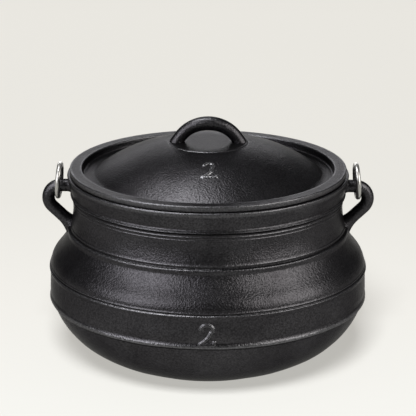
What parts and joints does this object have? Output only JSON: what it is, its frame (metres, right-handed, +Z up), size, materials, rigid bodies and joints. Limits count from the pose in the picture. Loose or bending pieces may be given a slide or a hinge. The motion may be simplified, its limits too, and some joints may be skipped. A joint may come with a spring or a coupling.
{
  "type": "cast iron cauldron",
  "caption": "Flat-bottomed, bellied cast iron cooking cauldron with raised beads round the body, looped ears, a domed loop-handled lid that rests on the rim, and a swinging wire bail",
  "frame": {"origin": "centre of the flat base, on the surface that the cauldron stands on", "axes": "+Z up through the pot, +X through the two ears, +Y to the side on which the bail lies down at rest; the front with the raised numeral faces -Y"},
  "size_m": [0.288, 0.2784, 0.211],
  "materials": {
    "pot_iron": "sand-cast skin, seasoned near-black, fine pebbled grain, soft sheen",
    "lid_iron": "sand-cast skin, seasoned near-black, flat ring smoother than the dome",
    "bail_wire": "bright zinc-plated drawn wire"
  },
  "bodies": {
    "pot": {"pot": "pot_iron", "lid": "lid_iron"},
    "bail": {"bail": "bail_wire"}
  },
  "joints": [
    {"name": "bail_swing", "type": "hinge", "parent": "pot", "child": "bail", "pos_m": [0, 0, 0.1538], "axis": [1, 0, 0], "range_deg": [0, 227]}
  ]
}
